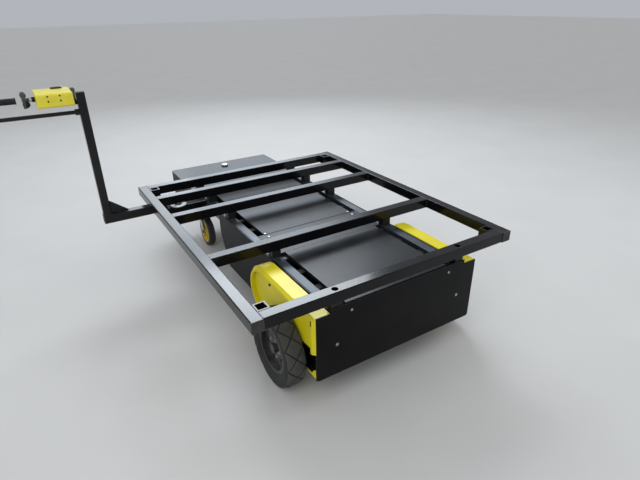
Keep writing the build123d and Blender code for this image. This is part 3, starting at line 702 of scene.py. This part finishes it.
# One row for each block: how far it lies along the tread, and its corners
blocks = ((0, diamond), (half_repeat, outer_block), (half_repeat, opposite_block))
for side, centre in (("left", axle_left), ("right", axle_right)):
    shape = bmesh.new()
    spin_carcass(shape, centre)
    carcass_faces = len(shape.faces)
    for shift, corners in blocks:
        block = cut_block(corners)
        bmesh.ops.translate(block, verts=block.verts, vec=(shift, 0, 0))
        bend_round(block, centre)
        join(shape, block)
    spin_blocks(shape, centre, carcass_faces)
    shape.faces.ensure_lookup_table()
    for face in shape.faces[carcass_faces:]:
        face.material_index = 1
    tyre = make_piece(f"treaded_tyre_{side}", shape, f"drive_wheel_{side}", looks["tyre"], tread_grey,
                      slot="tyre", angle=40)
    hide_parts(f"tyre_{side}")

# %% [markdown]
# ## Bolts
# The fixings are three small shapes: a hexagon bolt on a washer, a round screw with a sunk socket, and a
# plain button. Each is turned once at unit size with softened edges, and then stamped wherever the real
# machine is bolted together.

# %% A softened plug
def add_plug(shape, radius, start, end, sides, soften=0.0):
    """A straight plug from one height to another, with its outer edge softened."""
    middle = Matrix.Translation((0, 0, (start + end) / 2))
    made = bmesh.ops.create_cone(shape, cap_ends=True, segments=sides, radius1=radius, radius2=radius,
                                 depth=end - start, matrix=middle)
    if soften:
        edges = {e for v in made["verts"] for e in v.link_edges}
        rims = [e for e in edges if all(v.co.z > end - 1e-6 for v in e.verts)]
        bmesh.ops.bevel(shape, geom=rims, offset=soften, offset_type="OFFSET", segments=2,
                        profile=0.5, affect="EDGES", material=-1)


print("helper", add_plug.__name__)


# %% Bolt, screw and button
def keep_plugs(name, *plugs):
    """A kept mesh of plugs: radius, start, end, sides and softening, for a head of radius 1."""
    small = bmesh.new()
    for plug in plugs:
        add_plug(small, *plug)
    return keep(name, small)


bolt = keep_plugs("bolt", (1.4, 0.0, 0.2, 24, 0.06), (1.0, 0.2, 0.95, 6, 0.12))
screw = keep_plugs("screw", (1.0, 0.0, 0.5, 20, 0.28), (0.42, 0.48, 0.53, 6))
button = keep_plugs("button", (1.0, 0.0, 0.36, 24, 0.24))
print("fixings", len(bolt.polygons), len(screw.polygons), len(button.polygons))

# %% Bright fixings on both sides
# One row for each group: shape, head radius, direction, and places on the right side, in millimetres from
# the floor under the middle of the drive axle. They hold the end plate, the axle bearings, the plates of
# the swivel wheels, the pan and the deck covers.
bright_pairs = (
    (button, 6.2, (0, -1, 0), ((262, -250, 436), (330, -250, 295))),
    (bolt, 6, (1, 0, 0), ((431, -42, 177.5), (431, 42, 177.5))),
    (bolt, 6, (0, 0, -1), ((227, 1465, 246), (227, 1555, 246), (303, 1465, 246), (303, 1555, 246))),
    (screw, 5, (0, 0, -1), ((300, -200, 148), (300, 100, 148), (300, 400, 148), (300, 700, 148))),
    (button, 6, (0, 0, 1), ((258, 479, 452), (258, 523, 452))),
)
bright = bmesh.new()
for across in (-1, 1):
    for head, radius, (out, back, up), places in bright_pairs:
        for x, y, z in places:
            stamp(bright, head, facing(spot(across * x, y, z), (across * out, back, up), radius * MM))
print("paired fixings", 2 * sum(len(row[-1]) for row in bright_pairs))

# %% Bright fixings of the handle
# In millimetres: four bolts in the joint plates, a ring of screws in the flange of the outrigger's cap, and
# a button on the hub of the left throttle lever. A row of the joint bolts is x, z and direction.
joint_bolts = ((-591, 414, -1), (-579, 463, 1))
joint_bolts_y = (1159, 1183)
cap_x, cap_y, cap_flange = (-508, 1171, 452)
cap_screws = 4
cap_screw_circle = 40
lever_button = (-1150, 1171, 1116)
for y in joint_bolts_y:
    for x, z, across in joint_bolts:
        stamp(bright, bolt, facing(spot(x, y, z), (across, 0, 0), 5 * MM))
for number in range(cap_screws):
    angle = 2 * math.pi * (number + 0.5) / cap_screws
    x = cap_x + cap_screw_circle * math.cos(angle)
    y = cap_y + cap_screw_circle * math.sin(angle)
    stamp(bright, screw, facing(spot(x, y, cap_flange), (0, 0, 1), 4 * MM))
stamp(bright, button, facing(spot(*lever_button), (-1, 0, 0), 8 * MM))
make_piece("chassis_bolts", bright, "chassis", looks["zinc"], slot="zinc")

# %% Dark fixings
# A flat ring under each lower button of the end plate, a bolt on each guard, and four screws on the
# control box
flattened = Matrix.Diagonal((1, 1, 0.3, 1))
box_face = 1071
box_screws_x = (-1048, -996)
box_screws_z = (1137, 1115)
dark = bmesh.new()
for across in (-1, 1):
    stamp(dark, button, facing(spot(across * 330, -249.4, 295), (0, -1, 0), 11 * MM) @ flattened)
    stamp(dark, bolt, facing(spot(across * 421, 150, 395), (across, 0, 0), 6 * MM))
for x in box_screws_x:
    for z in box_screws_z:
        stamp(dark, screw, facing(spot(x, box_face, z), (0, -1, 0), 4 * MM))
make_piece("dark_bolts", dark, "chassis", looks["steel_dark"], slot="steel_dark")

# %% [markdown]
# ## Wheel fittings
# Five nuts hold each drive rim, and a short valve stands beside them. The swivel wheels have a nut on each
# end of the axle and thin ribs that brace the moulded hub.

# %% Nuts and valve on each drive wheel
nut_count = 5
nut_circle = 43 * MM
valve_circle = 88 * MM
disc_face = 13 * MM
first_angle = math.radians(36)


def on_disc(centre, across, circle, angle):
    """A point on the outer face of a rim's disc."""
    return centre + Vector((across * disc_face, circle * math.cos(angle), circle * math.sin(angle)))


for side, across, centre in (("left", -1, axle_left), ("right", 1, axle_right)):
    shape = bmesh.new()
    outward = (across, 0, 0)
    for number in range(nut_count):
        nut = on_disc(centre, across, nut_circle, first_angle + 2 * math.pi * number / nut_count)
        stamp(shape, bolt, facing(nut, outward, 7 * MM))
    valve = on_disc(centre, across, valve_circle, first_angle)
    for radius, stretch in ((5, 5), (3, 20)):
        stamp(shape, button, facing(valve, outward, radius * MM) @ Matrix.Diagonal((1, 1, stretch, 1)))
    make_piece(f"rim_nuts_{side}", shape, f"drive_wheel_{side}", looks["zinc"], slot="zinc")

# %% Nuts and ribs of the swivel wheels
fork_half = 37 * MM
rib_count = 8
rib_size = (39 * MM, 4 * MM, 48 * MM)
rib_middle = 44 * MM
for side in ("left", "right"):
    hub = pivots[f"caster_wheel_spin_{side}"]
    shape = bmesh.new()
    for end in (-1, 1):
        stamp(shape, bolt, facing(hub + Vector((end * fork_half, 0, 0)), (end, 0, 0), 9 * MM))
    make_piece(f"axle_nuts_{side}", shape, f"caster_swivel_{side}", looks["zinc"], slot="zinc")
    ribs = bmesh.new()
    first_rib = place_matrix(hub + Vector((0, 0, rib_middle)), *rib_size)
    bmesh.ops.create_cube(ribs, size=1.0, matrix=first_rib)
    bmesh.ops.bevel(ribs, geom=ribs.edges[:], offset=0.8 * MM, offset_type="OFFSET", segments=2,
                    profile=0.5, affect="EDGES", material=-1)
    bmesh.ops.spin(ribs, geom=ribs.verts[:] + ribs.edges[:] + ribs.faces[:], cent=hub, axis=(1, 0, 0),
                   angle=2 * math.pi * (rib_count - 1) / rib_count, steps=rib_count - 1,
                   use_duplicate=True)
    yellow = looks["caster_yellow"]
    make_piece(f"hub_ribs_{side}", ribs, f"caster_wheel_{side}", yellow, slot="caster_yellow")

# %% [markdown]
# ## Welds
# The tubes are welded where they meet. A bead is a row of small overlapping drops. In the inner corners it
# stands full, and on the tops of the frame it was ground almost flush, so there the drops are low.

# %% Lay a bead
drop_step = 3.6 * MM
drop_reach = 3.4 * MM


def lay_bead(shape, start, end, width, height):
    """A row of overlapping drops from start to end."""
    run = end - start
    count = max(2, round(run.length / drop_step))
    place = facing(start, run) @ Matrix.Diagonal((width / 2, height, drop_reach, 1))
    bead = bmesh.new()
    bmesh.ops.create_uvsphere(bead, u_segments=8, v_segments=4, radius=1, matrix=place)
    bmesh.ops.spin(bead, geom=bead.verts[:] + bead.edges[:] + bead.faces[:], cent=start, axis=run,
                   dvec=run / count, angle=0, steps=count, use_duplicate=True)
    join(shape, bead)


print("drops in 100 mm", round(100 * MM / drop_step))

# %% Welds of the frame
# Full beads stand in the inner corners, and low ones lie on the ground tops and undersides
full_width = 5 * MM
full_height = 2.5 * MM
ground_width = 7 * MM
ground_height = 0.35 * MM
low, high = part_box("platform_crosses")
shape = bmesh.new()
for y_from, y_to in cross_runs:
    for x in (low.x, high.x):
        for y in (y_from, y_to):
            if low.y + 1 * MM < y < high.y - 1 * MM:
                foot = Vector((x, y, low.z + 3 * MM))
                head = Vector((x, y, high.z - 3 * MM))
                lay_bead(shape, foot, head, full_width, full_height)
        for z in (low.z, high.z):
            near = Vector((x, y_from + 4 * MM, z))
            far = Vector((x, y_to - 4 * MM, z))
            lay_bead(shape, near, far, ground_width, ground_height)
make_piece("frame_welds", shape, "chassis", looks["frame_paint"], slot="frame_paint", angle=60)

# %% Welds of the handle
gusset_height = 2.2 * MM
low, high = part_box("handle_post")
shape = bmesh.new()
outer = low.x + 3 * MM
corners = ((outer, low.y), (high.x, low.y), (high.x, high.y), (outer, high.y))
for start, end in zip(corners, corners[1:]):
    lay_bead(shape, Vector((*start, low.z)), Vector((*end, low.z)), full_width, full_height)
low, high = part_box("handle_gusset")
for y in (low.y, high.y):
    corner = Vector((low.x, y, low.z))
    for end in (Vector((high.x, y, low.z)), Vector((low.x, y, high.z))):
        lay_bead(shape, corner, end, full_width, gusset_height)
make_piece("handle_welds", shape, "chassis", looks["post_black"], slot="post_black", angle=60)

# %% [markdown]
# ## Grip
# The handgrip is one rubber moulding: a flange, a row of shallow rings and a rounded end. It is a profile
# spun about the bar, and it takes the place of the plain sleeve.

# %% Profile of the grip
# Millimetres along the bar from the flange, and out from the sleeve's surface
low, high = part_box("hand_grip")
grip_length = (high.x - low.x) / MM
ring_count = 14
rings_start = 10
rings_length = grip_length - 22
flange = [(0.0, -5.0), (0.0, -1.5), (1.5, 0.0), (5.0, 0.0), (6.5, -2.0)]
one_ring = [(0.0, -2.0), (1.2, -0.8), (5.2, -0.8), (6.4, -2.0)]
rounded_end = [(-6, -2.0), (-2, -2.6), (0, -4.0), (0, -5.8)]
profile = list(flange)
for number in range(ring_count):
    start = rings_start + number * rings_length / ring_count
    profile += [(start + along, out) for along, out in one_ring]
profile += [(grip_length + along, out) for along, out in rounded_end]
print("grip", round(grip_length, 1), "mm long,", ring_count, "rings")

# %% Ribbed grip
centre = (low + high) / 2
surface_point = Vector((high.x, centre.y, high.z))
shape = bmesh.new()
line = [shape.verts.new(surface_point + Vector((-along, 0, out)) * MM) for along, out in profile]
edges = [shape.edges.new(pair) for pair in zip(line, line[1:])]
bmesh.ops.spin(shape, geom=line + edges, cent=centre, axis=(1, 0, 0), angle=2 * math.pi,
               steps=40, use_merge=True)
bmesh.ops.remove_doubles(shape, verts=shape.verts, dist=1e-6)
bmesh.ops.holes_fill(shape, edges=[e for e in shape.edges if e.is_boundary], sides=0)
grip = make_piece("ribbed_grip", shape, "chassis", looks["grip_rubber"], slot="grip_rubber")
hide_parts("hand_grip")

# %% [markdown]
# ## Throttle levers
# A lever stands on each side of the control box. Each has a thick rubber lobe above and below its hub, for
# the thumb. The lobes are stretched balls that sit over the ends of the thin lever. The left lever stands
# off the box on a shaft with a black sleeve and a bright collar.

# %% Lobes of the levers
lever_low, lever_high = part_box("throttle_paddles")
lever_hub = (lever_low + lever_high) / 2
lever_thickness = 14 * MM
left_x = lever_low.x + lever_thickness / 2
right_x = lever_high.x - lever_thickness / 2

# One row for each lobe: the lever's middle, how far the lobe lies from the hub along the three axes, its
# half sizes, and its material. Upper lobes are grey and lower ones black: all lobes are one grey rubber, and
# the black of the lower ones is painted shade, as they face down away from the light.
lobes = (
    (left_x, (1, -4, 23), (13, 13, 16), 0),
    (left_x, (7, 4, -21), (16, 14, 16), 1),
    (right_x, (2, 5, 27), (11, 12, 12), 0),
    (right_x, (0, -4, -21), (9, 13, 16), 1),
)
shape = bmesh.new()
for lever_x, offset, half_sizes, material in lobes:
    place = Vector((lever_x, lever_hub.y, lever_hub.z)) + Vector(offset) * MM
    small = bmesh.new()
    bmesh.ops.create_uvsphere(small, u_segments=24, v_segments=16, radius=MM,
                              matrix=place_matrix(place, *half_sizes))
    for face in small.faces:
        face.material_index = material
    join(shape, small)
# The black rubber on the lower lobes is painted shade
make_piece("throttle_lobes", shape, "chassis", looks["paddle_grey"], looks["grip_rubber"],
           slot="paddle_grey", angle=60)

# %% Sleeve and collar of the left lever's shaft
# One row for each: name, radius, start and end in millimetres from the box's side, and finish
on_shaft = (
    ("shaft_sleeve", 11.5, -1, 15, "grip_rubber"),
    ("shaft_collar", 10.5, 14, 24, "zinc"),
)
box_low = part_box("control_box")[0]
shaft_foot = Vector((box_low.x, lever_hub.y, lever_hub.z))
for name, radius, start, end, look in on_shaft:
    small = bmesh.new()
    add_plug(small, radius * MM, start * MM, end * MM, 32, 1.5 * MM)
    bmesh.ops.transform(small, matrix=facing(shaft_foot, (-1, 0, 0)), verts=small.verts)
    make_piece(name, small, "chassis", looks[look], slot=look)

# %% [markdown]
# ## Trim
# Black liners close the inside of each guard behind its notch: they stand for the black side plate seen there,
# and their black is also painted shade of the unlit inside. A black strip covers the guard's floor under the end
# plate as painted shade, and each guard's lip has a dark slot by the drive end. A thin matt black strip in the
# seam at the middle cover's edge is painted shade in the gap. A bright cap sits on the knob of the rear box, and
# the gauge has a glass whose pale mirror finish paints a glint on it.

# %% A thin plate
def add_panel(shape, corner, opposite):
    """A thin plate between two opposite corners."""
    size = [abs(value) for value in opposite - corner]
    bmesh.ops.create_cube(shape, size=1.0, matrix=place_matrix((corner + opposite) / 2, *size))


print("helper", add_panel.__name__)

# %% Liners, strips and slots of the guards
# Opposite corners of each panel on the right side, which the left side mirrors: the upright liner, the
# liner of the floor, the strip under the end plate, and the dark slot in the lip. The liners are black partly as
# painted shade of the guard's inside, and the strip is painted shade under the end plate.
guard_panels = (
    ((365.3, -244.5, 149.5), (366.5, 60, 330)),
    ((366.5, -244.5, 149.3), (416.5, 60, 150.3)),
    ((357.5, -250.4, 144.8), (421.3, -249.6, 149.4)),
    ((439.4, -236, 414), (440.3, -228, 439)),
)
shape = bmesh.new()
for across in (-1, 1):
    for (x_from, *near), (x_to, *far) in guard_panels:
        add_panel(shape, spot(across * x_from, *near), spot(across * x_to, *far))
make_piece("guard_liners_and_shade", shape, "chassis", looks["body_black"], slot="body_black")

# %% Painted shade in the seam at the middle cover's edge
# A matt black strip that paints the shade in the gap of the seam
seam_shade_black = finish("seam_shade_black", (0.004, 0.004, 0.004), (0.003, 0.003, 0.003), 0.9, wear=0.0, dust=0.0,
                    specular=0.0)
shape = bmesh.new()
add_panel(shape, spot(-266, 508.5, 451.7), spot(266, 513.5, 452.2))
make_piece("cover_seam_shade", shape, "chassis", seam_shade_black, slot="plug_black")

# %% Bright cap on the box's knob
knob_from_end = 98 * MM
cap_overlap = 11.5 * MM
cap_radius = 23.6 * MM
cap_height = 12.2 * MM
low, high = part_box("rear_box_cover")
knob = Vector((middle_x, high.y - knob_from_end, high.z - cap_overlap))
small = bmesh.new()
add_plug(small, cap_radius, 0.0, cap_height, 48, 4 * MM)
bmesh.ops.transform(small, matrix=Matrix.Translation(knob), verts=small.verts)
make_piece("box_knob_cap", small, "chassis", looks["zinc"], slot="zinc")

# %% Glass of the gauge, with a painted glint
glass_border = 5 * MM
glass_depth = 1 * MM
glass_inset = 0.1 * MM
low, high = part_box("gauge_lens")
border = Vector((glass_border, glass_border, 0))
foot = Vector((low.x, low.y, high.z - glass_depth)) + border
head = Vector((high.x, high.y, high.z - glass_inset)) - border
small = bmesh.new()
add_panel(small, foot, head)
bmesh.ops.bevel(small, geom=small.edges[:], offset=0.35 * MM, offset_type="OFFSET", segments=2,
                profile=0.5, affect="EDGES", material=-1)
# The glass is pale and mirror-like, so that it shows a painted glint
gauge_glass_glint = finish("gauge_glass_glint", (0.55, 0.58, 0.60), (0.48, 0.51, 0.53), 0.12, metal=0.9, wear=0.0,
                     dust=0.05)
make_piece("gauge_glass_glint", small, "chassis", gauge_glass_glint, slot="lens_black")
